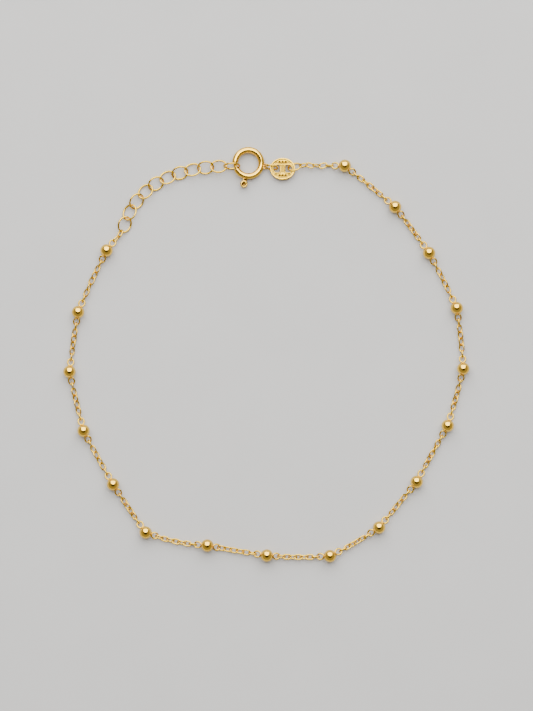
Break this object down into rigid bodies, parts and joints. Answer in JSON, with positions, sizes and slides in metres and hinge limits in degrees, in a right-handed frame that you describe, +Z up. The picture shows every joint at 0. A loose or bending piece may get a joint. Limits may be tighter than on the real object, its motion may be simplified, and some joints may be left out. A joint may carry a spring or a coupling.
{
  "type": "bead chain anklet",
  "caption": "Fine gold anklet: polished round beads on cable chain, with an extender of oval links, a stamped oval tag and a spring ring clasp with a sliding trigger, fastened and lying flat.",
  "frame": {"origin": "on the surface that the anklet lies on, under the middle of the loop's bounding box", "axes": "+Z up from the surface, +Y to the clasp's side of the loop, +X to the right seen from above"},
  "size_m": [0.0812, 0.083, 0.0027],
  "materials": {
    "polished_gold": "polished yellow gold with fine handling scratches",
    "satin_gold": "satin yellow gold with a polished rim"
  },
  "bodies": {
    "anklet": {"bead_01": "polished_gold", "bead_02": "polished_gold", "bead_03": "polished_gold", "bead_04": "polished_gold", "bead_05": "polished_gold", "bead_06": "polished_gold", "bead_07": "polished_gold", "bead_08": "polished_gold", "bead_09": "polished_gold", "bead_10": "polished_gold", "bead_11": "polished_gold", "bead_12": "polished_gold", "bead_13": "polished_gold", "bead_14": "polished_gold", "bead_15": "polished_gold", "bead_16": "polished_gold", "bead_17": "polished_gold", "chain_01": "polished_gold", "chain_02": "polished_gold", "chain_03": "polished_gold", "chain_04": "polished_gold", "chain_05": "polished_gold", "chain_06": "polished_gold", "chain_07": "polished_gold", "chain_08": "polished_gold", "chain_09": "polished_gold", "chain_10": "polished_gold", "chain_11": "polished_gold", "chain_12": "polished_gold", "chain_13": "polished_gold", "chain_14": "polished_gold", "chain_15": "polished_gold", "chain_16": "polished_gold", "chain_link_01": "polished_gold", "chain_link_02": "polished_gold", "chain_link_03": "polished_gold", "chain_link_04": "polished_gold", "chain_link_05": "polished_gold", "chain_link_06": "polished_gold", "chain_link_07": "polished_gold", "extender_link_01": "polished_gold", "extender_link_02": "polished_gold", "extender_link_03": "polished_gold", "extender_link_04": "polished_gold", "extender_link_05": "polished_gold", "extender_link_06": "polished_gold", "extender_link_07": "polished_gold", "extender_link_08": "polished_gold", "extender_link_09": "polished_gold", "extender_link_10": "polished_gold", "extender_end_link": "polished_gold", "clasp_ring": "polished_gold", "jump_ring_clasp": "polished_gold", "jump_ring_tag": "polished_gold", "tag": "satin_gold"},
    "trigger": {"clasp_trigger": "polished_gold"}
  },
  "joints": [
    {"name": "trigger_slide", "type": "hinge", "parent": "anklet", "child": "trigger", "pos_m": [-0.0036, 0.03823, 0.00092], "axis": [0.1105, 0, 0.9939], "range_deg": [0, 35], "stiffness_Nm_per_rad": 0.004}
  ]
}
